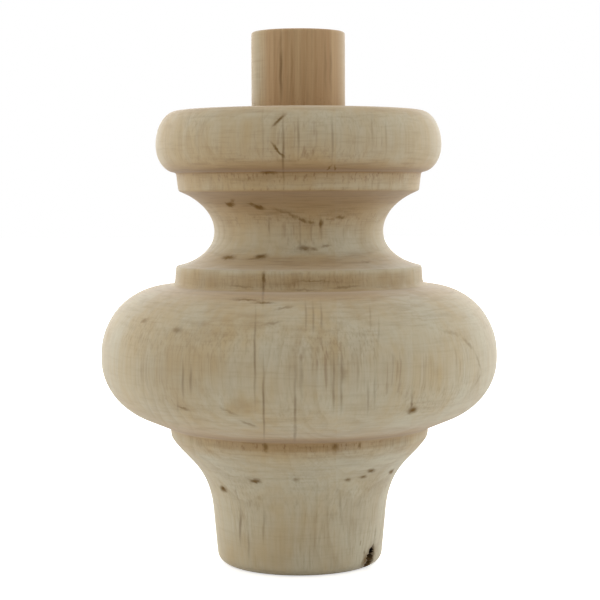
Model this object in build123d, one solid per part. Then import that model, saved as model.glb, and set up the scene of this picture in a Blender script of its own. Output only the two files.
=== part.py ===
from build123d import *
import os
from math import acos, atan, cos, degrees, radians, sin, tan

# Turned wooden furniture foot, one piece from one blank, in millimetres.
# It stands on its base at Z = 0, with the lathe's axis on Z and the tenon on top.
# The outline is a stack of turned elements. A height is that of one element alone,
# and a reach and a rise are the half widths, outward and upward, of an elliptical arc.

# Ankle: the narrow, slightly tapered lower end that stands on the floor
base_diameter = 45.2
base_edge_reach = 3.2
base_edge_rise = 3.1
ankle_top_diameter = 47.4
ankle_height = 14.75

# Bell: the ogee that opens from the ankle to the step
bell_height = 20.45
bell_hollow = 12.8
bell_shoulder = 6.85
bell_shoulder_slope = 29.2

# Step: the short band under the bun
step_diameter = 70.6
step_height = 2.35
step_taper = 0.15

# Bun: the large round, with a narrow upright band at its widest and a short cone below
bun_diameter = 107.8
bun_lower_rise = 17.1
bun_band_height = 1.35
bun_upper_rise = 18.3
bun_cone_slope = 22.85
bun_shelf_width = 1.45

# Lower fillet: the collar on top of the bun
lower_fillet_diameter = 66.6
lower_fillet_height = 5.35
lower_fillet_flare = 1.1

# Cove: the deep hollow, of two arcs that meet at the throat
throat_diameter = 46.0
cove_lower_reach = 13.95
cove_lower_rise = 9.65
cove_upper_reach = 19.35
cove_upper_rise = 12.65

# Disc: the rounded head that carries the furniture, with the upper fillet under it
disc_diameter = 77.5
disc_overhang = 5.45
disc_lower_rise = 7.45
disc_upper_rise = 9.15
disc_upper_reach = 5.85
upper_fillet_height = 4.95
upper_fillet_taper = 0.6

# Tenon: the round peg that is glued into the furniture
tenon_diameter = 25.4
tenon_length = 21.3
tenon_edge = 0.55

# Centre marks: the small cones that the lathe's points leave in both ends
centre_mark_diameter = 3.0
centre_mark_angle = 60.0

# Bark pocket: a void at the ankle's foot, to the right of the front, which is -Y
pocket_azimuth = 57.0
pocket_height = 2.9
pocket_length = 8.2
pocket_width = 3.6
pocket_depth = 2.4
pocket_lean = 13.0


def ellipse_arc(centre, reach, rise, start_angle, turn):
    """Arc of the ellipse (reach cos a, rise sin a) about a centre, from start_angle over turn."""
    return EllipticalCenterArc(centre, reach, rise, start_angle, arc_size=turn)


def cove_angle(fillet_radius, reach):
    """Angle of a cove's arc, from the throat to where it meets a fillet's edge."""
    return degrees(acos(1 - (fillet_radius - throat_diameter / 2) / reach))


def outline():
    """Half section of the foot, as lines and arcs from the base's centre to the tenon's top."""
    # Ankle
    base_radius = base_diameter / 2
    base_flat = Line((0, 0), (base_radius - base_edge_reach, 0))
    edge_centre = (base_radius - base_edge_reach, base_edge_rise)
    base_edge = ellipse_arc(edge_centre, base_edge_reach, base_edge_rise, -90, 90)
    ankle = Line(base_edge @ 1, (ankle_top_diameter / 2, ankle_height))

    # Bell
    step_radius = step_diameter / 2
    step_foot = Vector(step_radius - step_taper, ankle_height + bell_height)
    slope = radians(bell_shoulder_slope)
    hollow_handle = ankle @ 1 + (ankle % 1) * bell_hollow
    shoulder_handle = step_foot - Vector(sin(slope), cos(slope)) * bell_shoulder
    bell = Bezier(ankle @ 1, hollow_handle, shoulder_handle, step_foot)

    # Step
    step = Line(bell @ 1, (step_radius, step_foot.Y + step_height))

    # Bun: the lower arc stops where it is as steep as the cone, and a level shelf meets the fillet
    cone_rise = tan(radians(bun_cone_slope))
    lower_reach = bun_diameter / 2 - step_radius
    cone_angle = atan(bun_lower_rise / (lower_reach * cone_rise))
    cone_top = (step @ 1).Y + lower_reach * cos(cone_angle) * cone_rise
    band_foot = cone_top + bun_lower_rise * sin(cone_angle)
    bun_lower = ellipse_arc(
        (step_radius, band_foot), lower_reach, bun_lower_rise, -degrees(cone_angle), degrees(cone_angle)
    )
    bun_cone = Line(step @ 1, bun_lower @ 0)
    band_top = band_foot + bun_band_height
    bun_band = Line(bun_lower @ 1, (bun_diameter / 2, band_top))
    lower_fillet_radius = lower_fillet_diameter / 2
    fillet_foot = lower_fillet_radius + lower_fillet_flare
    shelf_rim = fillet_foot + bun_shelf_width
    bun_upper = ellipse_arc((shelf_rim, band_top), bun_diameter / 2 - shelf_rim, bun_upper_rise, 0, 90)
    bun_shelf = Line(bun_upper @ 1, (fillet_foot, band_top + bun_upper_rise))

    # Lower fillet
    lower_fillet = Line(bun_shelf @ 1, (lower_fillet_radius, (bun_shelf @ 1).Y + lower_fillet_height))

    # Cove
    throat_radius = throat_diameter / 2
    lower_angle = cove_angle(lower_fillet_radius, cove_lower_reach)
    throat_height = (lower_fillet @ 1).Y + cove_lower_rise * sin(radians(lower_angle))
    cove_lower = ellipse_arc(
        (throat_radius + cove_lower_reach, throat_height),
        cove_lower_reach, cove_lower_rise, 180 + lower_angle, -lower_angle,
    )
    upper_fillet_radius = disc_diameter / 2 - disc_overhang
    upper_angle = cove_angle(upper_fillet_radius - upper_fillet_taper, cove_upper_reach)
    cove_upper = ellipse_arc(
        (throat_radius + cove_upper_reach, throat_height),
        cove_upper_reach, cove_upper_rise, 180, -upper_angle,
    )

    # Upper fillet
    upper_fillet = Line(cove_upper @ 1, (upper_fillet_radius, (cove_upper @ 1).Y + upper_fillet_height))

    # Disc
    disc_line = (upper_fillet @ 1).Y + disc_lower_rise
    disc_lower = ellipse_arc((upper_fillet_radius, disc_line), disc_overhang, disc_lower_rise, -90, 90)
    crown_radius = disc_diameter / 2 - disc_upper_reach
    disc_upper = ellipse_arc((crown_radius, disc_line), disc_upper_reach, disc_upper_rise, 0, 90)
    shoulder = Line(disc_upper @ 1, (tenon_diameter / 2, disc_line + disc_upper_rise))

    # Tenon
    tenon_top = (shoulder @ 1).Y + tenon_length
    tenon_side = Line(shoulder @ 1, (tenon_diameter / 2, tenon_top - tenon_edge))
    tenon_corner = (tenon_diameter / 2 - tenon_edge, tenon_top - tenon_edge)
    tenon_round = ellipse_arc(tenon_corner, tenon_edge, tenon_edge, 0, 90)
    tenon_flat = Line(tenon_round @ 1, (0, tenon_top))
    axis_line = Line(tenon_flat @ 1, base_flat @ 0)

    return [
        base_flat, base_edge, ankle, bell, step, bun_cone, bun_lower, bun_band, bun_upper, bun_shelf,
        lower_fillet, cove_lower, cove_upper, upper_fillet, disc_lower, disc_upper, shoulder,
        tenon_side, tenon_round, tenon_flat, axis_line,
    ]


def centre_mark():
    """Cone that a lathe's point leaves, with its rim in the XY plane and its tip below."""
    mark_radius = centre_mark_diameter / 2
    mark_depth = mark_radius / tan(radians(centre_mark_angle / 2))
    rim = Line((0, 0), (mark_radius, 0))
    flank = Line(rim @ 1, (0, -mark_depth))
    back = Line(flank @ 1, rim @ 0)
    return revolve(Plane.XZ * make_face([rim, flank, back]), Axis.Z)


def bark_pocket():
    """Lens between two arcs, carried outward from the pocket's floor through the ankle's surface."""
    lower_tip = (0, -pocket_length / 2)
    upper_tip = (0, pocket_length / 2)
    right_side = ThreePointArc(lower_tip, (pocket_width / 2, 0), upper_tip)
    left_side = ThreePointArc(upper_tip, (-pocket_width / 2, 0), lower_tip)
    lens = Pos(0, pocket_height, 0) * Rot(0, 0, -pocket_lean) * make_face([right_side, left_side])
    front_floor = Plane.XZ.offset(base_diameter / 2 - pocket_depth)
    return Rot(0, 0, pocket_azimuth) * extrude(front_floor * lens, 2 * pocket_depth)


turned = revolve(Plane.XZ * make_face(outline()), Axis.Z)
tenon_top = turned.bounding_box().max.Z
base_mark = Rot(180, 0, 0) * centre_mark()
tenon_mark = Pos(0, 0, tenon_top) * centre_mark()
turned_foot = turned - base_mark - tenon_mark - bark_pocket()

os.makedirs("parts", exist_ok=True)
export_step(turned_foot, "parts/turned_foot.step")
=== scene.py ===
import bpy
import numpy as np
from mathutils import Matrix, Vector


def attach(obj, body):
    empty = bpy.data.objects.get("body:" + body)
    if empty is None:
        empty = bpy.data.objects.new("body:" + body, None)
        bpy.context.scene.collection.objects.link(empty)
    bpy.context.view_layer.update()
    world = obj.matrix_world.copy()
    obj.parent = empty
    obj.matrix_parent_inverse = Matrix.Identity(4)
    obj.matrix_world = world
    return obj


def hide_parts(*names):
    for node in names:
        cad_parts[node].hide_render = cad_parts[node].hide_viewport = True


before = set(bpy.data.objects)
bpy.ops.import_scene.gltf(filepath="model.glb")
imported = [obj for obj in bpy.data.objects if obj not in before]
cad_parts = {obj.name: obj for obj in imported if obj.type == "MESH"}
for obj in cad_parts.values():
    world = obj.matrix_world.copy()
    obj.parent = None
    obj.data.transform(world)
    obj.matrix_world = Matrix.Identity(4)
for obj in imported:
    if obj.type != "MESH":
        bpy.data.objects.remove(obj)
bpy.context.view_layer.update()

# The turned form. The foot is one piece of pale, bare hardwood, turned between centres from a
# blank that was glued up from boards, and sanded with the grain left open. From the floor up it is
# ankle, bell, step, bun, lower fillet, cove, upper fillet, disc and tenon. Sizes are millimetres.
MM = 0.001
base_radius, ankle_radius, ankle_height = 22.6, 23.7, 14.75
base_edge_reach, base_edge_rise = 3.2, 3.1
bell_height, bell_hollow, bell_shoulder, bell_shoulder_slope = 20.45, 12.8, 6.85, np.radians(29.2)
step_radius, step_height, step_taper = 35.3, 2.35, 0.15
bun_radius, bun_lower_rise, bun_band_height, bun_upper_rise = 53.9, 17.1, 1.35, 18.3
bun_cone_slope, bun_shelf_width = np.radians(22.85), 0.5
lower_fillet_radius, lower_fillet_height, lower_fillet_flare = 33.45, 5.35, 0.3
fillet_hollow_reach, fillet_hollow_rise = 1.6, 1.4
throat_radius = 23.0
cove_lower_reach, cove_lower_rise = 13.95, 9.65
cove_upper_reach, cove_upper_rise = 19.35, 12.65
disc_radius, disc_overhang, disc_lower_rise = 38.75, 5.45, 7.45
disc_upper_rise, disc_upper_reach = 9.15, 5.85
upper_fillet_height, upper_fillet_taper = 4.95, 0.6
tenon_radius, tenon_length, tenon_edge = 12.7, 21.3, 0.55
centre_mark_radius, centre_mark_depth = 1.5, 2.6
sanded_edge = 0.38


def arc(centre, reach, rise, start, end):
    """Points of the ellipse centre + (reach cos a, rise sin a), for a from start to end in degrees."""
    angle = np.radians(np.linspace(start, end, 90))
    return np.stack([centre[0] + reach * np.cos(angle), centre[1] + rise * np.sin(angle)], axis=1)


def bezier(start, start_handle, end_handle, end):
    """Points of the cubic curve that leaves start towards one handle and reaches end from the other."""
    t = np.linspace(0, 1, 90)[:, None]
    return ((1 - t) ** 3 * start + 3 * (1 - t) ** 2 * t * start_handle
            + 3 * (1 - t) * t ** 2 * end_handle + t ** 3 * end)


def foot_outline():
    """Radius and height of the turned outline, from the mark in the base to the mark in the tenon.

    Each element stands on the one before it, so a height is added to the last point's height.
    """
    edge_centre = (base_radius - base_edge_reach, base_edge_rise)
    base_edge = arc(edge_centre, base_edge_reach, base_edge_rise, -90, 0)
    ankle_top = np.array([ankle_radius, ankle_height])
    ankle_line = ankle_top - base_edge[-1]
    ankle_line = ankle_line / np.linalg.norm(ankle_line)
    step_foot = np.array([step_radius - step_taper, ankle_height + bell_height])
    shoulder_line = np.array([np.sin(bell_shoulder_slope), np.cos(bell_shoulder_slope)])
    bell = bezier(ankle_top, ankle_top + bell_hollow * ankle_line,
                  step_foot - bell_shoulder * shoulder_line, step_foot)

    step_top = step_foot[1] + step_height
    lower_reach = bun_radius - step_radius
    cone_angle = np.arctan(bun_lower_rise / (lower_reach * np.tan(bun_cone_slope)))
    band_foot = (step_top + lower_reach * np.cos(cone_angle) * np.tan(bun_cone_slope)
                 + bun_lower_rise * np.sin(cone_angle))
    bun_lower = arc((step_radius, band_foot), lower_reach, bun_lower_rise, -np.degrees(cone_angle), 0)
    band_top = band_foot + bun_band_height
    fillet_foot = lower_fillet_radius + lower_fillet_flare
    shelf_start = fillet_foot + fillet_hollow_reach
    shelf_rim = shelf_start + bun_shelf_width
    bun_upper = arc((shelf_rim, band_top), bun_radius - shelf_rim, bun_upper_rise, 0, 90)
    shelf = band_top + bun_upper_rise
    fillet_hollow = arc((shelf_start, shelf + fillet_hollow_rise), fillet_hollow_reach,
                        fillet_hollow_rise, 270, 180)
    fillet_top = shelf + lower_fillet_height

    lower_angle = np.arccos(1 - (lower_fillet_radius - throat_radius) / cove_lower_reach)
    throat = fillet_top + cove_lower_rise * np.sin(lower_angle)
    cove_lower = arc((throat_radius + cove_lower_reach, throat), cove_lower_reach, cove_lower_rise,
                     180 + np.degrees(lower_angle), 180)
    upper_fillet_radius = disc_radius - disc_overhang
    narrow_radius = upper_fillet_radius - upper_fillet_taper
    upper_angle = np.arccos(1 - (narrow_radius - throat_radius) / cove_upper_reach)
    cove_upper = arc((throat_radius + cove_upper_reach, throat), cove_upper_reach, cove_upper_rise,
                     180, 180 - np.degrees(upper_angle))

    disc_foot = cove_upper[-1][1] + upper_fillet_height
    disc_line = disc_foot + disc_lower_rise
    disc_lower = arc((upper_fillet_radius, disc_line), disc_overhang, disc_lower_rise, -90, 0)
    crown_radius = disc_radius - disc_upper_reach
    disc_upper = arc((crown_radius, disc_line), disc_upper_reach, disc_upper_rise, 0, 90)
    shoulder = disc_line + disc_upper_rise
    top = shoulder + tenon_length
    tenon_round = arc((tenon_radius - tenon_edge, top - tenon_edge), tenon_edge, tenon_edge, 0, 90)
    return np.concatenate([
        [[0, centre_mark_depth], [centre_mark_radius, 0]], base_edge, bell, [[step_radius, step_top]],
        bun_lower, bun_upper, fillet_hollow, [[lower_fillet_radius, fillet_top]], cove_lower, cove_upper,
        disc_lower, disc_upper, [[tenon_radius, shoulder]], tenon_round,
        [[centre_mark_radius, top], [0, top - centre_mark_depth]],
    ])


def walk(line, places):
    """Points of a line at these distances along it."""
    steps = np.linalg.norm(np.diff(line, axis=0), axis=1)
    along = np.concatenate([[0], np.cumsum(steps)])
    return np.stack([np.interp(places, along, line[:, 0]), np.interp(places, along, line[:, 1])], axis=1)


def sand(line, spacing=0.05):
    """The line with its arrises rounded: a running mean, weighted by a bell curve of sanded_edge."""
    length = np.linalg.norm(np.diff(line, axis=0), axis=1).sum()
    fine = walk(line, np.linspace(0, length, int(length / spacing)))
    reach = int(4 * sanded_edge / spacing)
    offsets = np.arange(-reach, reach + 1) * spacing
    weights = np.exp(-0.5 * (offsets / sanded_edge) ** 2)
    weights = weights / weights.sum()
    before, after = 2 * fine[0] - fine[reach:0:-1], 2 * fine[-1] - fine[-2:-reach - 2:-1]
    padded = np.concatenate([before, fine, after])
    return np.stack([np.convolve(padded[:, axis], weights, "valid") for axis in (0, 1)], axis=1)


def thin(line, count):
    """count points of the line, closer together where it turns and along the bark pocket."""
    steps = np.linalg.norm(np.diff(line, axis=0), axis=1)
    heading = np.unwrap(np.arctan2(*np.diff(line, axis=0).T[::-1]))
    turning = np.convolve(np.abs(np.gradient(heading)) / steps, np.ones(9) / 9, "same")
    inner_radius, pocket_top, tightest_turn = 18.0, 8.5, 2.5
    by_pocket = (line[1:, 0] > inner_radius) & (line[1:, 1] < pocket_top)
    need = steps * (1 + 6 * np.minimum(turning, tightest_turn) + 2.2 * by_pocket)
    share = np.concatenate([[0], np.cumsum(need)])
    along = np.concatenate([[0], np.cumsum(steps)])
    return walk(line, np.interp(np.linspace(0, share[-1], count), share, along))


# Points along the outline and round the foot
outline_count, round_count = 430, 225
outline = thin(sand(foot_outline()), outline_count)

# The bark pocket. The blank held a scrap of bark at the ankle's foot, and the lathe opened it up:
# a ragged slit that leans and runs out over the base's edge, right of the front, which is -Y.
pocket_azimuth, pocket_height = np.radians(57.0), 2.9
pocket_half_length, pocket_half_width = 4.1, 1.8
pocket_depth, pocket_lean = 2.4, np.radians(13.0)


def round_the_foot(count):
    """Azimuths from the front towards +X, in radians, four times closer together at the pocket."""
    dense = np.linspace(-np.pi, np.pi, 4001)
    off = np.angle(np.exp(1j * (dense - pocket_azimuth)))
    dense_reach = np.radians(9)
    need = 1 + 3.5 * np.exp(-(off / dense_reach) ** 2)
    share = np.concatenate([[0], np.cumsum((need[1:] + need[:-1]) / 2)])
    return np.interp(np.arange(count) / count * share[-1], share, dense)


def pocket(azimuth, radius, height):
    """How deep the pocket goes: a lens of two parabolas about a leaning line, with ragged sides."""
    across = radius * np.sin(azimuth - pocket_azimuth)
    up = height - pocket_height
    along = up * np.cos(pocket_lean) + across * np.sin(pocket_lean)
    side = across * np.cos(pocket_lean) - up * np.sin(pocket_lean)
    ragged = (0.28 * np.sin(3.1 * along + 0.6) + 0.2 * np.sin(7.3 * along + 2.0)
              + 0.12 * np.sin(13.7 * along + side))
    half_width = pocket_half_width * (1 - (along / pocket_half_length) ** 2)
    inside = np.clip((half_width - np.abs(side + ragged)) / 0.55, 0, 1)
    facing = np.cos(azimuth - pocket_azimuth) > 0
    floor = 0.75 + 0.25 * np.sin(4.0 * along + 5.0 * side)
    return pocket_depth * floor * inside * inside * (3 - 2 * inside) * facing


def turned_surface(line, azimuths):
    """Vertices and faces of the outline carried round the axis, with a single point at each end."""
    radius, height = line[1:-1, 0][:, None], line[1:-1, 1][:, None]
    shown = radius - pocket(azimuths[None, :], radius, height)
    x, y = shown * np.sin(azimuths), -shown * np.cos(azimuths)
    rings = np.stack([x, y, height + 0 * x], axis=2).reshape(-1, 3)
    ends = np.array([[0, 0, line[0, 1]], [0, 0, line[-1, 1]]])
    rows, columns = len(line) - 2, len(azimuths)
    index = np.arange(rows * columns).reshape(rows, columns)
    beside = np.roll(index, -1, axis=1)
    sides = np.stack([index[:-1], beside[:-1], beside[1:], index[1:]], axis=2).reshape(-1, 4)
    base_end, tenon_end = rows * columns, rows * columns + 1
    base_fan = np.stack([beside[0], index[0], np.full(columns, base_end)], axis=1)
    tenon_fan = np.stack([index[-1], beside[-1], np.full(columns, tenon_end)], axis=1)
    return np.concatenate([rings, ends]) * MM, sides.tolist() + base_fan.tolist() + tenon_fan.tolist()


azimuths = round_the_foot(round_count)
vertices, faces = turned_surface(outline, azimuths)
foot_mesh = bpy.data.meshes.new("foot")
foot_mesh.from_pydata(vertices.tolist(), [], faces)
foot_mesh.polygons.foreach_set("use_smooth", np.ones(len(faces), dtype=bool))
foot = bpy.data.objects.new("foot", foot_mesh)
bpy.context.collection.objects.link(foot)

# The wood. Boards stand side by side along X, each with its own growth rings, and their glue
# lines run up the whole foot. Colour, fibres, flecks and stains are worked out in the solid, in
# millimetres, so that they run through from side to side and out at both ends.

# Wide patches of browner and of paler wood, and painted shade: the strong brown patches 45 to 50
# degrees right of the front, on the bell, step, lower fillet, cove and disc, darken that side as
# painted shade. Azimuth in degrees and height on the surface, half length round the foot, half
# height and strength
shade_and_brown_patches = (
    (-44.0, 57.6, 6.0, 8.0, 0.5), (-36.0, 56.0, 20.0, 16.0, 1.5), (-29.0, 66.5, 10.0, 5.0, 1.3),
    (-22.5, 69.9, 8.0, 2.2, 0.75), (-15.0, 57.6, 4.5, 6.0, 0.5), (-16.0, 49.0, 6.0, 5.0, 1.2),
    (-14.0, 70.5, 5.0, 3.5, 1.0), (18.0, 48.0, 7.0, 4.0, 0.6), (0.2, 57.6, 4.0, 5.0, 0.5),
    (9.5, 57.0, 4.0, 5.0, 0.2), (22.8, 56.7, 5.0, 5.0, 0.35), (28.0, 59.3, 5.0, 4.0, 0.35),
    (40.0, 59.2, 5.0, 3.5, 0.3), (-50.0, 67.5, 6.0, 2.5, 0.5), (33.0, 47.5, 2.6, 2.0, 0.6),
    (55.0, 4.0, 5.0, 4.5, 0.7), (-52.0, 22.5, 3.0, 2.0, 0.5), (0.0, 12.0, 8.0, 9.0, 0.2),
    (45.0, 90.0, 7.0, 8.0, 1.2), (-8.0, 78.0, 6.0, 3.0, 0.3), (50.0, 78.0, 10.0, 4.0, 1.5),
    (8.0, 92.0, 5.0, 3.5, 0.5), (50.0, 104.5, 9.0, 4.0, 1.2), (50.0, 24.0, 10.0, 7.0, 1.2),
    (46.0, 37.5, 12.0, 4.5, 1.5), (-52.0, 39.5, 9.0, 2.0, 0.6),
)
pale_patches = (
    (-1.5, 71.2, 6.0, 2.6, 0.6), (14.7, 69.2, 5.0, 3.0, 0.6), (6.5, 49.1, 7.0, 2.5, 0.6),
    (-16.5, 44.8, 8.0, 2.0, 0.4), (40.0, 70.0, 9.0, 4.0, 0.5), (-30.0, 90.0, 5.0, 4.5, 0.6),
    (40.0, 89.0, 3.5, 4.5, 0.3), (-20.0, 28.0, 9.0, 4.0, 0.4), (30.0, 22.0, 7.0, 5.0, 0.3),
    (-66.0, 57.0, 10.0, 14.0, 0.6), (50.0, 50.0, 9.0, 4.0, 0.5), (47.0, 60.0, 9.0, 13.0, 0.8),
    (18.0, 66.0, 8.0, 5.0, 0.6), (26.0, 67.0, 8.0, 5.0, 0.9), (9.0, 58.0, 4.0, 5.0, 0.5),
    (-46.0, 79.0, 7.0, 3.5, 0.8),
)
# Where the fibres stand torn in short upright hairs
hair_patches = (
    (2.0, 114.0, 15.0, 9.0, 1.0), (34.0, 114.0, 5.0, 8.0, 0.6), (-18.0, 115.0, 4.0, 7.0, 0.7),
    (-40.0, 104.0, 12.0, 4.0, 0.35), (22.0, 104.0, 18.0, 4.0, 0.4), (2.0, 92.0, 10.0, 10.0, 0.9),
    (-8.0, 79.0, 18.0, 4.5, 0.5), (36.0, 79.0, 12.0, 4.5, 0.4), (7.0, 60.0, 10.0, 17.0, 1.0),
    (28.0, 56.0, 16.0, 10.0, 0.8), (-38.0, 52.0, 7.0, 10.0, 0.7), (50.0, 57.0, 9.0, 9.0, 0.6),
    (-62.0, 57.0, 8.0, 9.0, 0.4), (-38.0, 20.0, 5.0, 9.0, 0.8), (24.0, 20.0, 4.0, 8.0, 0.6),
    (-8.0, 20.0, 8.0, 9.0, 0.35), (110.0, 58.0, 15.0, 13.0, 0.7), (178.0, 60.0, 14.0, 15.0, 0.9),
    (-128.0, 57.0, 13.0, 11.0, 0.7), (150.0, 113.0, 13.0, 8.0, 0.8), (-100.0, 114.0, 10.0, 8.0, 0.6),
    (100.0, 92.0, 9.0, 9.0, 0.7), (-150.0, 90.0, 10.0, 9.0, 0.7), (160.0, 18.0, 8.0, 10.0, 0.7),
    (-110.0, 20.0, 7.0, 9.0, 0.5), (120.0, 79.0, 25.0, 4.5, 0.4), (-110.0, 79.0, 22.0, 4.5, 0.4),
)


def patch_tone(marks, points):
    """Greatest strength of the marks at each point, faded as (1 - d^2)^2 over an uneven ellipse."""
    turns, heights = np.degrees(np.arctan2(points[:, 0], -points[:, 1])), points[:, 2]
    from_axis = np.hypot(points[:, 0], points[:, 1])
    tone = np.zeros(len(points))
    for turn, height, half_length, half_height, strength in marks:
        along = np.radians((turns - turn + 180) % 360 - 180) * from_axis
        up = heights - height + 0.9 * np.sin(along * 0.8 + height) + 0.6 * np.sin(along * 1.9 + turn)
        along = along + 1.1 * np.sin(up * 0.9 + turn) + 0.5 * np.sin(up * 2.3)
        distance = np.minimum((along / half_length) ** 2 + (up / half_height) ** 2, 1)
        tone = np.maximum(tone, strength * (1 - distance) ** 2)
    return tone


surface_points = vertices / MM
# A pale patch lifts the tone twice as much as a brown one lowers it
patch_values = 2 * patch_tone(pale_patches, surface_points) - patch_tone(shade_and_brown_patches, surface_points)
hair_values = patch_tone(hair_patches, surface_points)

# How upright the surface stands, from 0 on a level face to 1 on a plumb one
rise_of_outline = np.abs(np.gradient(outline[:, 1]))
run_of_outline = np.abs(np.gradient(outline[:, 0]))
upright_of_outline = rise_of_outline / np.hypot(rise_of_outline, run_of_outline)
# Distance along the outline from the base's centre, which the gouge's and the sander's lines follow
along_of_outline = np.concatenate([[0], np.cumsum(np.hypot(*np.diff(outline, axis=0).T))])


def round_about(outline_values):
    """Values of the outline's points given to every vertex of their rings, and to both ends."""
    return np.concatenate([np.repeat(outline_values[1:-1], len(azimuths)), outline_values[[0, -1]]])


# Brown wood and painted shade: the sander did not reach the creases, the cove's roof and the step,
# nor was the tenon sanded, and there the wood kept its brown, torn face. The brown is also laid on
# more strongly as painted shade in the creases, on the cove's roof under the disc and on the step
# under the bun, stronger in the foot's middle than at its sides, where the side light reaches in.
# A height, the share of brown and painted shade in the foot's middle there, and the share at its sides
brown_and_shade_by_height = np.array([
    (0, 0, 0), (8, 0.08, 0), (24, 0, 0), (32, 0.02, 0), (33.6, 0.22, 0.25), (34.5, 0.38, 0.3),
    (35.1, 0.35, 0.1), (35.5, 0.7, 0.05), (36.4, 0.82, 0.1), (37.4, 0.95, 0.35), (38.2, 1.2, 0.95),
    (39, 0.9, 0.85), (39.8, 0.4, 0.55), (41.4, 0.3, 0.3), (43, 0.15, 0.1), (50, 0.08, 0.05),
    (58, 0.2, 0.1), (68, 0.1, 0.08), (74, 0.2, 0.15), (74.8, 0.6, 0.3), (75.5, 0.85, 0.4),
    (76.1, 0.75, 0.3), (76.8, 0.45, 0.2), (77.6, 0.5, 0.3), (79, 0.6, 0.3), (80.3, 0.4, 0.25),
    (80.9, 0.1, 0.1), (81.4, 0.15, 0.1), (81.8, 0.55, 0.2), (83, 0.72, 0.3), (84.4, 0.55, 0.3),
    (85.6, 0.15, 0.15), (87.5, 0.1, 0.1), (91, 0.33, 0.3), (94, 0.58, 0.4), (96.8, 0.97, 0.4),
    (99, 1.08, 0.95), (100.8, 1.15, 0.95), (101.5, 1.25, 0.9), (101.9, 0.75, 0.4), (102.4, 0.5, 0.35),
    (103, 0.42, 0.38), (104, 0.62, 0.42), (105.3, 0.75, 0.5), (106, 0.9, 0.65), (106.5, 1.4, 1.1),
    (107.1, 1.45, 1.1), (107.8, 1.05, 0.7), (109, 0.78, 0.45), (110, 0.52, 0.3), (114.5, 0.36, 0.25),
    (121, 0.15, 0.15), (123.5, 0.6, 0.6), (127, 0.32, 0.32),
])
# Painted shade: the share goes from its value in the foot's middle, which gets less light, to its value
# at the sides as |X| grows
middle_edge, side_edge = 8.0, 34.0
to_side = np.clip((np.abs(surface_points[:, 0]) - middle_edge) / (side_edge - middle_edge), 0, 1)
to_side = to_side * to_side * (3 - 2 * to_side)
middle_brown_and_shade = np.interp(surface_points[:, 2], brown_and_shade_by_height[:, 0], brown_and_shade_by_height[:, 1])
side_brown_and_shade = np.interp(surface_points[:, 2], brown_and_shade_by_height[:, 0], brown_and_shade_by_height[:, 2])
wood_values = {
    "patches": patch_values, "hairs": hair_values, "upright": round_about(upright_of_outline),
    "along": round_about(along_of_outline),
    "unsanded_and_shade": middle_brown_and_shade + to_side * (side_brown_and_shade - middle_brown_and_shade),
}
for name, values in wood_values.items():
    surface_values = foot_mesh.attributes.new(name, "FLOAT", "POINT")
    surface_values.data.foreach_set("value", values.astype(np.float32))

wood = bpy.data.materials.new("bare_wood")
wood.use_nodes = True
wood_nodes, wood_links = wood.node_tree.nodes, wood.node_tree.links
wood_nodes.clear()


def feed(socket, value):
    """Links a socket to another node's result, or sets its value."""
    if isinstance(value, bpy.types.NodeSocket):
        wood_links.new(value, socket)
    else:
        socket.default_value = value


def node(kind, settings, inputs):
    """A node with its settings and inputs; an input is named, or numbered where names repeat."""
    made = wood_nodes.new(kind)
    for name, value in settings.items():
        setattr(made, name, value)
    for name, value in inputs.items():
        feed(made.inputs[name], value)
    return made


def calc(operation, *terms):
    """Result of a sum on one to three numbers."""
    return node("ShaderNodeMath", {"operation": operation}, dict(enumerate(terms))).outputs[0]


def vector(operation, *terms):
    """Result of a sum on vectors."""
    made = node("ShaderNodeVectorMath", {"operation": operation}, {})
    for place, term in enumerate(terms):
        feed(made.inputs["Scale"] if operation == "SCALE" and place == 1 else made.inputs[place], term)
    return made.outputs["Value"] if operation in ("LENGTH", "DOT_PRODUCT") else made.outputs["Vector"]


def ramp(value, low, high, low_result=0.0, high_result=1.0):
    """Smooth change from one result to another as the value goes from low to high."""
    inputs = {"Value": value, "From Min": low, "From Max": high,
              "To Min": low_result, "To Max": high_result}
    return node("ShaderNodeMapRange", {"interpolation_type": "SMOOTHSTEP"}, inputs).outputs["Result"]


def noise(place, scale, detail=2.0, roughness=0.5):
    """Smooth noise about 0.5; scale is in waves per millimetre along X, Y and Z."""
    stretched = vector("MULTIPLY", place, scale)
    inputs = {"Vector": stretched, "Scale": 1.0, "Detail": detail, "Roughness": roughness}
    return node("ShaderNodeTexNoise", {}, inputs)


def blend(share, first, second):
    """Colour between two, by share."""
    made = node("ShaderNodeMix", {"data_type": "RGBA"}, {})
    feed(made.inputs[0], share)
    feed(made.inputs[6], first)
    feed(made.inputs[7], second)
    return made.outputs[2]


def paint(red, green, blue):
    """Colour of a shader from the 0 to 255 values of a paint chart."""
    chart = np.array([red, green, blue]) / 255
    return tuple(np.where(chart < 0.04045, chart / 12.92, ((chart + 0.055) / 1.055) ** 2.4)) + (1.0,)


place = vector("SCALE", node("ShaderNodeTexCoord", {}, {}).outputs["Object"], 1 / MM)
apart = node("ShaderNodeSeparateXYZ", {}, {0: place})
x, y, z = apart.outputs
radius = vector("LENGTH", vector("MULTIPLY", place, (1, 1, 0)))

# Boards: where their glue planes stand on X, where the pith of each one's tree lay, how pale it is
glue_planes = (-27.0, -8.8, 8.9, 27.4)
board_piths = ((-75.0, -20.0), (14.0, 66.0), (-88.0, 30.0), (-58.0, 70.0), (-52.0, 46.0))
board_tones = (0.45, 0.45, 0.48, 0.55, 0.49)
half_span = 100.0


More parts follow.
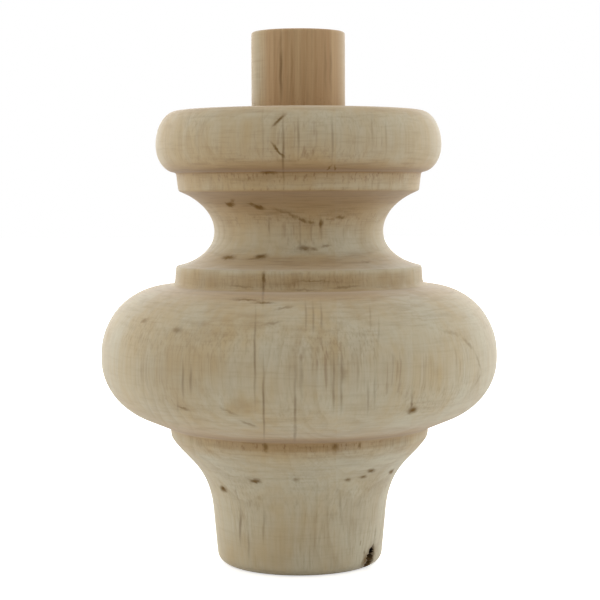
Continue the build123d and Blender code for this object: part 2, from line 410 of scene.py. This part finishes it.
def board_value(values):
    """A colour that is constant over each board, from three numbers between 0 and 1 a board."""
    made = node("ShaderNodeValToRGB", {}, {"Fac": calc("MULTIPLY_ADD", x, 0.5 / half_span, 0.5)})
    made.color_ramp.interpolation = "CONSTANT"
    stops = made.color_ramp.elements
    edges = (-half_span,) + glue_planes
    for number, (edge, value) in enumerate(zip(edges, values)):
        position = 0.5 + 0.5 * edge / half_span
        stop = stops[number] if number < 2 else stops.new(position)
        stop.position = position
        stop.color = value + (1.0,)
    return made.outputs["Color"]


pith = board_value([(0.5 + 0.5 * px / half_span, 0.5 + 0.5 * py / half_span, tone)
                    for (px, py), tone in zip(board_piths, board_tones)])
pith_apart = node("ShaderNodeSeparateXYZ", {}, {0: pith})
pith_x = calc("MULTIPLY_ADD", pith_apart.outputs[0], 2 * half_span, -half_span)
pith_y = calc("MULTIPLY_ADD", pith_apart.outputs[1], 2 * half_span, -half_span)
board_tone = pith_apart.outputs[2]

# Growth rings: distance from the pith, pushed about by slow noise, then cut into rings
wander = vector("SUBTRACT", noise(place, (0.035, 0.035, 0.02), 2.0).outputs["Color"], (0.5, 0.5, 0.5))
waver = vector("SUBTRACT", noise(place, (0.16, 0.16, 0.05), 2.0).outputs["Color"], (0.5, 0.5, 0.5))
grown = vector("ADD", vector("ADD", place, vector("SCALE", wander, 20.0)), vector("SCALE", waver, 2.4))
grown_apart = node("ShaderNodeSeparateXYZ", {}, {0: grown})
off_x = calc("SUBTRACT", grown_apart.outputs[0], pith_x)
off_y = calc("SUBTRACT", grown_apart.outputs[1], pith_y)
pith_distance = calc("SQRT", calc("ADD", calc("MULTIPLY", off_x, off_x), calc("MULTIPLY", off_y, off_y)))
ring_size = 3.4
ring_phase = calc("FRACT", calc("DIVIDE", pith_distance, ring_size))
late_wood = calc("MULTIPLY", ramp(ring_phase, 0.3, 0.93), ramp(ring_phase, 0.93, 1.0, 1.0, 0.0))
ring_strength = ramp(noise(place, (0.06, 0.06, 0.03), 2.0).outputs["Fac"], 0.4, 0.66, 0.15, 1.0)
rings = calc("MULTIPLY", late_wood, ring_strength)


def surface_value(name):
    """A value that the mesh carries at its vertices."""
    return node("ShaderNodeAttribute", {"attribute_name": name}, {}).outputs["Fac"]


patches, hairy, upright = surface_value("patches"), surface_value("hairs"), surface_value("upright")
along, unsanded_and_shade = surface_value("along"), surface_value("unsanded_and_shade")
plumb = ramp(upright, 0.75, 0.97)


def turned_noise(coarse, fine):
    """Noise in rings round the axis, with coarse waves per millimetre across, fine along the outline."""
    ring_inputs = {"X": calc("MULTIPLY", x, coarse), "Y": calc("MULTIPLY", y, coarse),
                   "Z": calc("MULTIPLY", along, fine)}
    ring_place = node("ShaderNodeCombineXYZ", {}, ring_inputs).outputs["Vector"]
    return noise(ring_place, (1.0, 1.0, 1.0), 2.0, 0.6).outputs["Fac"]


# Marks of the turning: the gouge's bands and the sander's fine lines
lathe = turned_noise(0.09, 0.65)
sander = turned_noise(0.11, 1.6)

# Fibres: fine streaks along the grain, long in Z, stronger in some places than in others. A slope
# cuts across them and shows them as faint dots.
fibre_place = vector("ADD", place, vector("SCALE", wander, 5.0))
fibres = noise(fibre_place, (1.7, 1.7, 0.05), 3.0, 0.6).outputs["Fac"]
hairs = noise(fibre_place, (0.8, 0.8, 0.045), 2.0, 0.55).outputs["Fac"]
streaks = noise(fibre_place, (0.5, 0.5, 0.016), 2.0).outputs["Fac"]
mottle = noise(place, (0.075, 0.075, 0.06), 3.0).outputs["Fac"]
fibre_strength = ramp(noise(place, (0.07, 0.07, 0.05), 2.0).outputs["Fac"], 0.38, 0.68, 0.25, 1.0)
fibre_strength = calc("MULTIPLY", fibre_strength, ramp(upright, 0.6, 0.95, 0.35, 1.0))

# Vertical lines, seen from the front: X, lowest and highest Z, half width and strength
line_waver = calc("SUBTRACT", noise(place, (0.0, 0.0, 0.09), 2.0).outputs["Fac"], 0.5)
line_x = calc("ADD", x, calc("MULTIPLY", line_waver, 1.6))
line_break = ramp(noise(place, (0.2, 0.2, 0.16), 2.0).outputs["Fac"], 0.3, 0.58, 0.5, 1.0)
line_marks = (
    (-8.7, 35.0, 64.0, 0.2, 1.0), (-9.0, 73.0, 82.0, 0.25, 1.0), (-8.9, 107.0, 124.0, 0.2, 0.4),
    (-10.8, 47.0, 76.0, 0.2, 0.9), (-3.8, 99.0, 123.0, 0.24, 0.9), (-4.6, 123.0, 146.0, 0.3, 1.0),
    (0.0, 109.0, 121.0, 0.22, 0.7), (8.5, 107.0, 122.0, 0.2, 0.6), (8.6, 124.0, 146.0, 0.25, 0.6),
    (-1.0, 36.0, 64.0, 0.24, 0.8), (-1.0, 38.0, 46.0, 0.3, 1.0), (0.5, 50.0, 63.0, 0.35, 0.6),
    (1.6, 67.0, 75.0, 0.2, 0.6), (3.4, 66.0, 75.0, 0.2, 0.6), (5.4, 66.0, 75.0, 0.2, 0.6),
    (8.4, 47.0, 63.0, 0.24, 0.9), (10.3, 46.0, 65.0, 0.24, 0.9), (14.3, 55.0, 63.0, 0.2, 0.4),
    (16.9, 46.0, 56.0, 0.2, 0.5), (18.5, 47.0, 58.0, 0.2, 0.4), (17.5, 67.0, 74.0, 0.18, 0.4),
    (19.6, 64.0, 71.0, 0.18, 0.4), (5.9, 89.0, 96.0, 0.28, 0.9), (-7.5, 90.0, 95.5, 0.2, 0.6),
    (0.4, 84.0, 96.0, 0.2, 0.4), (-28.8, 49.0, 61.0, 0.22, 0.7), (-26.8, 51.0, 59.5, 0.25, 0.8),
    (-30.4, 46.0, 52.0, 0.2, 0.5), (28.0, 47.0, 52.0, 0.22, 0.5), (-9.6, 8.0, 20.0, 0.2, 0.5),
    (-15.9, 7.0, 20.0, 0.25, 0.9), (-13.6, 3.0, 14.0, 0.2, 0.5), (10.6, 12.0, 24.0, 0.25, 0.5),
    (7.2, 126.0, 143.0, 0.25, 0.5), (-1.6, 126.0, 143.0, 0.2, 0.5), (18.6, 110.0, 122.0, 0.18, 0.4),
    (22.2, 109.0, 121.0, 0.18, 0.4),
)


def fade(distance, strength):
    """Strength of a mark: all of it in the middle, none a little past the rim at distance 1."""
    return ramp(distance, 0.1, 1.1, strength, 0.0)


def into_ellipsoid(position, centre, turn, lean, half_sizes):
    """Distance from the centre of a leaning ellipsoid, turned about the axis, which is 1 at its skin."""
    inputs = {"Vector": position, "Location": centre, "Rotation": (0, lean, turn), "Scale": half_sizes}
    local = node("ShaderNodeMapping", {"vector_type": "TEXTURE"}, inputs).outputs["Vector"]
    return vector("LENGTH", local)


lines = 0.0
for side, low, high, half_width, strength in line_marks:
    half_length = (high - low) / 2 + 0.5
    across = calc("MULTIPLY_ADD", line_x, 0.5 / half_width, -0.5 * side / half_width)
    up = calc("MULTIPLY_ADD", z, 1 / half_length, -(low + high) / 2 / half_length)
    off_line = calc("SQRT", calc("MULTIPLY_ADD", across, across, calc("MULTIPLY", up, up)))
    lines = calc("MAXIMUM", lines, fade(off_line, strength))
lines = calc("MULTIPLY", lines, line_break)

# Flecks and smudges: azimuth and height on the surface, half length round the foot, half height,
# lean in degrees, and strength
flecks_at = (
    (-41.8, 98.2, 2.3, 0.8, -14, 0.85), (-38.0, 99.1, 1.5, 0.4, -25, 0.5),
    (-23.2, 97.5, 1.9, 0.7, 14, 0.9), (-26.8, 98.3, 1.8, 0.4, 12, 0.6),
    (-11.0, 96.5, 3.0, 0.45, 20, 0.35), (-4.0, 95.4, 2.4, 0.55, 28, 0.5),
    (2.5, 94.1, 1.6, 0.6, 25, 0.7), (7.5, 93.6, 1.1, 0.5, 0, 0.6), (14.5, 93.2, 0.6, 1.2, 0, 0.8),
    (26.5, 94.7, 1.7, 0.5, 0, 0.6), (20.0, 94.3, 1.6, 0.35, 0, 0.35), (-44.0, 84.3, 2.9, 0.8, 0, 0.8),
    (-22.3, 84.7, 2.2, 0.75, -10, 0.9), (-26.5, 84.1, 1.8, 0.35, -8, 0.5),
    (3.5, 86.8, 2.0, 0.75, 0, 0.75), (9.0, 86.5, 1.3, 0.5, 0, 0.6), (16.8, 87.3, 1.8, 0.5, -8, 0.55),
    (-36.5, 67.1, 1.8, 0.9, 0, 0.5), (-52.0, 68.7, 1.4, 0.7, 0, 0.45), (-34.5, 47.6, 2.0, 0.5, 14, 0.6),
    (33.9, 46.9, 1.7, 1.3, 0, 1.0), (32.6, 48.4, 0.5, 1.6, -12, 0.5), (-52.8, 22.5, 1.7, 1.05, 0, 1.0),
    (-24.7, 26.3, 2.1, 0.85, 0, 0.95), (-2.0, 27.0, 0.9, 0.7, 0, 0.5), (27.0, 26.4, 1.0, 0.65, 0, 0.65),
    (36.2, 26.8, 1.6, 0.55, 0, 0.75), (39.7, 28.4, 1.7, 0.75, 15, 0.85),
    (61.5, 26.6, 2.2, 0.9, 20, 0.85), (-7.4, 119.4, 0.5, 2.6, 42, 0.9),
    (-7.6, 111.7, 0.4, 2.9, -40, 0.9), (-13.0, 106.4, 2.8, 0.55, 0, 0.7),
    (12.4, 107.3, 0.35, 1.6, 30, 0.6), (15.2, 107.3, 0.35, 1.6, -30, 0.6),
    (49.5, 4.9, 0.7, 1.0, 0, 0.55), (44.5, 8.0, 0.4, 0.8, 0, 0.5), (50.3, 2.9, 1.3, 2.0, 15, 0.8),
    (-15.0, 44.2, 3.4, 0.45, 26, 0.45), (-15.5, 79.6, 0.6, 1.6, 0, 0.75),
    (-20.0, 47.6, 2.8, 0.4, 26, 0.35), (-18.0, 74.6, 4.5, 0.35, 0, 0.6),
    (-11.5, 74.0, 3.4, 0.35, 0, 0.6), (-4.5, 72.9, 3.2, 0.4, -12, 0.45),
    (-7.5, 69.4, 2.8, 0.45, -10, 0.4), (47.5, 65.7, 4.4, 0.6, 14, 0.25),
    (54.4, 62.5, 3.2, 0.6, 38, 0.3), (59.2, 57.5, 3.8, 0.6, 56, 0.3), (60.0, 53.0, 2.2, 0.6, -50, 0.25),
    (11.6, 57.2, 0.9, 2.2, 0, 0.3), (-14.2, 36.5, 0.8, 1.4, 0, 0.7), (14.7, 36.5, 1.1, 1.2, 0, 0.6),
    (26.0, 36.6, 0.6, 1.0, 0, 0.6), (61.0, 9.5, 0.6, 2.2, 0, 0.4), (-26.0, 77.3, 4.0, 0.35, 3, 0.4),
    (6.0, 78.8, 5.0, 0.35, 0, 0.45), (20.0, 77.2, 5.0, 0.35, -3, 0.45), (38.7, 83.2, 2.0, 0.4, 0, 0.35),
    (2.0, 76.6, 5.0, 0.3, 2, 0.4),
)
uneven = noise(place, (0.9, 0.9, 0.9), 2.0).outputs["Color"]
ragged_place = vector("ADD", place, vector("SCALE", vector("SUBTRACT", uneven, (0.5, 0.5, 0.5)), 1.1))
body = outline[outline[:, 0] > 12]
fleck_depth = 2.0
flecks = 0.0
for turn, height, half_length, half_height, lean, strength in flecks_at:
    turn, from_axis = np.radians(turn), np.interp(height, body[:, 1], body[:, 0])
    centre = (from_axis * np.sin(turn), -from_axis * np.cos(turn), height)
    half_sizes = (1.2 * half_length, fleck_depth, 1.25 * half_height)
    off_fleck = into_ellipsoid(ragged_place, centre, turn, np.radians(lean), half_sizes)
    flecks = calc("MAXIMUM", flecks, fade(off_fleck, strength))

# Flecks strewn over the sides and the back, which the photo does not show
strewn = ramp(noise(place, (0.13, 0.13, 0.42), 2.0).outputs["Fac"], 0.69, 0.74, 0.0, 0.85)
flecks = calc("MAXIMUM", flecks, calc("MULTIPLY", strewn, ramp(y, -4.0, 4.0)))

# Torn grain, in pits, on the plumb faces that were not sanded, picked out by the same value that
# also paints the creases' shade
torn = noise(place, (1.2, 1.2, 0.5), 3.0, 0.65).outputs["Fac"]
torn_marks = calc("MULTIPLY", ramp(torn, 0.53, 0.66), calc("MULTIPLY", ramp(unsanded_and_shade, 0.25, 0.8), plumb))

# The blank's brown heart, which only the tenon is turned down to
heart = calc("MULTIPLY", ramp(radius, 12.9, 20.0, 1.0, 0.0),
             calc("MULTIPLY", ramp(x, -11.0, -7.5), ramp(x, 9.5, 12.5, 1.0, 0.5)))

# Colours, on a paint chart's scale of 0 to 255
pale_wood, warm_wood = paint(191, 184, 160), paint(183, 162, 122)
# The fibres' brown, laid on also as painted shade by the brown patches on the right side
ring_brown, fibre_and_shade_brown = paint(140, 112, 72), paint(124, 98, 60)
# Crease browns: the brown of unsanded wood, and painted shade in the creases
crease_brown_and_shade, deep_brown_and_shade = paint(158, 123, 76), paint(112, 84, 54)
heart_pale, heart_dark = paint(185, 156, 116), paint(166, 131, 90)
torn_brown, fleck_brown = paint(112, 72, 38), paint(98, 68, 22)
bark_black, bark_brown = paint(14, 8, 4), paint(108, 85, 54)

# How much of its brown each mark lays over the wood; the creases' shares carry painted shade too
ring_share, patch_share, crease_and_shade_share, deep_and_shade_share = 0.2, 0.14, 0.62, 0.38
fibre_share, hair_share, torn_share, line_share, fleck_share = 0.31, 0.37, 0.46, 0.6, 0.9

# Ground colour: mottled and streaked, its own in each board, and warmer where it is unsanded and
# where shade is painted into the creases
tone = calc("ADD", calc("MULTIPLY", mottle, 0.7), calc("MULTIPLY", streaks, 0.3))
tone = calc("ADD", tone, calc("SUBTRACT", board_tone, 0.5))
# Patches lift or lower the tone; the brown patches on the right side are painted shade
tone = calc("ADD", tone, calc("MULTIPLY", patches, 0.08))
tone = calc("ADD", tone, calc("MULTIPLY_ADD", unsanded_and_shade, -0.3, 0.08))
colour = blend(ramp(tone, 0.2, 0.8), warm_wood, pale_wood)
colour = blend(calc("MULTIPLY", rings, ring_share), colour, ring_brown)
# Brown patches: browner wood, and on the right side painted shade
brown_and_shade_share = calc("MAXIMUM", calc("MULTIPLY", patches, -1.0), 0.0)
colour = blend(calc("MULTIPLY", brown_and_shade_share, patch_share), colour, fibre_and_shade_brown)

# The gouge's and the sander's lines, stronger on unsanded wood and in the painted crease shade, and
# weaker on plumb faces; between them, the creases' brown and painted shade
lathe_strength = calc("ADD", calc("MULTIPLY_ADD", unsanded_and_shade, 0.14, 0.15), calc("MULTIPLY", plumb, -0.1))
colour = blend(calc("MULTIPLY", ramp(lathe, 0.45, 0.7), lathe_strength), colour, fibre_and_shade_brown)
# Painted shade with the unsanded brown: darker in the creases, under the disc and on the step
colour = blend(calc("MULTIPLY", unsanded_and_shade, crease_and_shade_share), colour, crease_brown_and_shade)
colour = blend(ramp(unsanded_and_shade, 0.6, 1.4, 0.0, deep_and_shade_share), colour, deep_brown_and_shade)
sander_strength = calc("ADD", calc("MULTIPLY_ADD", unsanded_and_shade, 0.26, 0.12), calc("MULTIPLY", plumb, -0.08))
colour = blend(calc("MULTIPLY", ramp(sander, 0.5, 0.68), sander_strength), colour, fibre_and_shade_brown)

# The heart, streaked along the grain
heart_streaks = noise(place, (0.5, 0.5, 0.012), 3.0, 0.6).outputs["Fac"]
colour = blend(heart, colour, blend(ramp(heart_streaks, 0.2, 0.8), heart_dark, heart_pale))

# Fibres, torn hairs, torn grain, lines and flecks
fibre_marks = calc("MULTIPLY", ramp(fibres, 0.42, 0.72, 0.0, fibre_share), fibre_strength)
colour = blend(fibre_marks, colour, fibre_and_shade_brown)
hair_marks = calc("MULTIPLY", ramp(hairs, 0.56, 0.68, 0.0, hair_share), calc("MULTIPLY", hairy, plumb))
colour = blend(hair_marks, colour, torn_brown)
colour = blend(calc("MULTIPLY", torn_marks, torn_share), colour, torn_brown)
colour = blend(calc("MULTIPLY", lines, line_share), colour, fleck_brown)
colour = blend(calc("MULTIPLY", flecks, fleck_share), colour, fleck_brown)

# The pocket: black bark above, brown bark below, and a brown stain round it
pocket_place = (20.6 * np.sin(pocket_azimuth), -20.6 * np.cos(pocket_azimuth), pocket_height)
from_pocket = into_ellipsoid(ragged_place, pocket_place, pocket_azimuth, pocket_lean, (1.9, 3.0, 4.2))
colour = blend(ramp(from_pocket, 0.9, 1.7, 0.5, 0.0), colour, fleck_brown)
in_bark = ramp(from_pocket, 0.85, 1.08, 1.0, 0.0)
bark = blend(ramp(z, 1.6, 4.6), bark_brown, bark_black)
colour = blend(in_bark, colour, bark)

# Surface: bare sanded wood, rough, with the fibres, torn grain and fine turning lines in relief
fibre_relief = calc("MULTIPLY", calc("MULTIPLY", fibres, fibre_strength), 0.6)
relief = calc("ADD", fibre_relief, calc("MULTIPLY", sander, 0.4))
relief = calc("SUBTRACT", relief, calc("MULTIPLY", torn_marks, 0.8))
bump_inputs = {"Strength": 0.35, "Distance": 0.2 * MM, "Height": relief}
bumped = node("ShaderNodeBump", {}, bump_inputs).outputs["Normal"]
dull = ramp(calc("MAXIMUM", flecks, in_bark), 0.0, 0.8, 1.0, 0.1)
shader = node("ShaderNodeBsdfPrincipled", {}, {
    "Base Color": colour, "Roughness": 0.7, "Specular IOR Level": calc("MULTIPLY", dull, 0.3),
    "Sheen Weight": calc("MULTIPLY", dull, 0.25), "Sheen Roughness": 0.5, "Normal": bumped,
})
node("ShaderNodeOutputMaterial", {}, {"Surface": shader.outputs["BSDF"]})
foot_mesh.materials.append(wood)
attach(foot, "root")
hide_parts("turned_foot")

# The room: a white floor and a white surround, and the lit cloth walls of a light tent. The side
# towards the camera is open and darker.
floor_reach, shade_reach, white_reach, shade_glow = 3.0, 0.06, 0.3, 0.6
floor_corners = np.array([(-1, -1, 0), (1, -1, 0), (1, 1, 0), (-1, 1, 0)]) * floor_reach
floor_mesh = bpy.data.meshes.new("floor")
floor_mesh.from_pydata(floor_corners.tolist(), [], [(0, 1, 2, 3)])
floor = bpy.data.objects.new("floor", floor_mesh)
bpy.context.collection.objects.link(floor)
floor_paint = bpy.data.materials.new("floor_white")
floor_paint.use_nodes = True
floor_nodes, floor_links = floor_paint.node_tree.nodes, floor_paint.node_tree.links
floor_shader = floor_nodes["Principled BSDF"]
floor_shader.inputs["Base Color"].default_value = (0.9, 0.9, 0.9, 1)
floor_shader.inputs["Roughness"].default_value = 0.9
floor_shader.inputs["Specular IOR Level"].default_value = 0.0
floor_shader.inputs["Emission Color"].default_value = (1, 1, 1, 1)
floor_place = floor_nodes.new("ShaderNodeTexCoord")
floor_distance = floor_nodes.new("ShaderNodeVectorMath")
floor_distance.operation = "LENGTH"
floor_links.new(floor_place.outputs["Object"], floor_distance.inputs[0])
whiter = floor_nodes.new("ShaderNodeMapRange")
whiter.inputs["From Min"].default_value = shade_reach
whiter.inputs["From Max"].default_value = white_reach
whiter.inputs["To Min"].default_value = shade_glow
whiter.inputs["To Max"].default_value = 1.0
floor_links.new(floor_distance.outputs["Value"], whiter.inputs["Value"])
seen = floor_nodes.new("ShaderNodeLightPath")
glow = floor_nodes.new("ShaderNodeMath")
glow.operation = "MULTIPLY"
floor_links.new(seen.outputs["Is Camera Ray"], glow.inputs[0])
floor_links.new(whiter.outputs["Result"], glow.inputs[1])
floor_links.new(glow.outputs[0], floor_shader.inputs["Emission Strength"])
floor_mesh.materials.append(floor_paint)

world = bpy.data.worlds.new("surround")
bpy.context.scene.world = world
world.use_nodes = True
world_nodes, world_links = world.node_tree.nodes, world.node_tree.links
sky = world_nodes["Background"]
sky.inputs["Color"].default_value = (1, 1, 1, 1)
ray = world_nodes.new("ShaderNodeLightPath")
white_ray = world_nodes.new("ShaderNodeMath")
white_ray.operation = "ADD"
white_ray.use_clamp = True
world_links.new(ray.outputs["Is Camera Ray"], white_ray.inputs[0])
world_links.new(ray.outputs["Is Transmission Ray"], white_ray.inputs[1])
white_or_glossy = world_nodes.new("ShaderNodeMath")
white_or_glossy.operation = "ADD"
white_or_glossy.use_clamp = True
world_links.new(white_ray.outputs[0], white_or_glossy.inputs[0])
world_links.new(ray.outputs["Is Glossy Ray"], white_or_glossy.inputs[1])
ambient_light = 0.37
ambient = world_nodes.new("ShaderNodeMapRange")
ambient.inputs["To Min"].default_value = ambient_light
ambient.inputs["To Max"].default_value = 1.0
world_links.new(white_or_glossy.outputs[0], ambient.inputs["Value"])
world_links.new(ambient.outputs["Result"], sky.inputs["Strength"])


def cloth(name, position, target, width, height, power):
    """Lit wall of the tent: a wide lamp that faces a target and that the camera does not see."""
    light = bpy.data.lights.new(name, "AREA")
    light.shape = "RECTANGLE"
    light.size, light.size_y, light.energy = width, height, power
    holder = bpy.data.objects.new(name, light)
    holder.visible_camera = False
    bpy.context.collection.objects.link(holder)
    facing = Vector(np.subtract(position, target)).to_track_quat("Z", "Y").to_matrix().to_4x4()
    holder.matrix_world = Matrix.Translation(position) @ facing


cloth("left_wall", (-0.7, 0.1, 0.4), (0, 0.1, 0.4), 1.5, 0.8, 4.2)
cloth("right_wall", (0.7, 0.1, 0.4), (0, 0.1, 0.4), 1.5, 0.8, 4.1)
cloth("back_wall", (0, 0.9, 0.35), (0, 0, 0.35), 1.6, 0.7, 11.2)
cloth("ceiling", (0, 0.25, 0.85), (0, 0.25, 0), 1.2, 1.2, 3.5)

# The camera: a little above the cove, looking slightly down, as the photograph was taken.
camera_distance, camera_height, camera_side = 0.4672, 0.10256, 0.00027
camera_pitch, camera_roll = np.radians(3.763), np.radians(-0.2)
focal_pixels, picture_pixels, film_width = 1711.7, 600, 36.0
lens = bpy.data.cameras.new("camera")
lens.sensor_width = film_width
lens.lens = focal_pixels / picture_pixels * film_width
camera = bpy.data.objects.new("camera", lens)
bpy.context.collection.objects.link(camera)
aim = Matrix.Rotation(np.pi / 2 - camera_pitch, 4, "X") @ Matrix.Rotation(camera_roll, 4, "Z")
camera.matrix_world = Matrix.Translation((camera_side, -camera_distance, camera_height)) @ aim
bpy.context.scene.camera = camera
bpy.context.scene.view_settings.view_transform = "Standard"
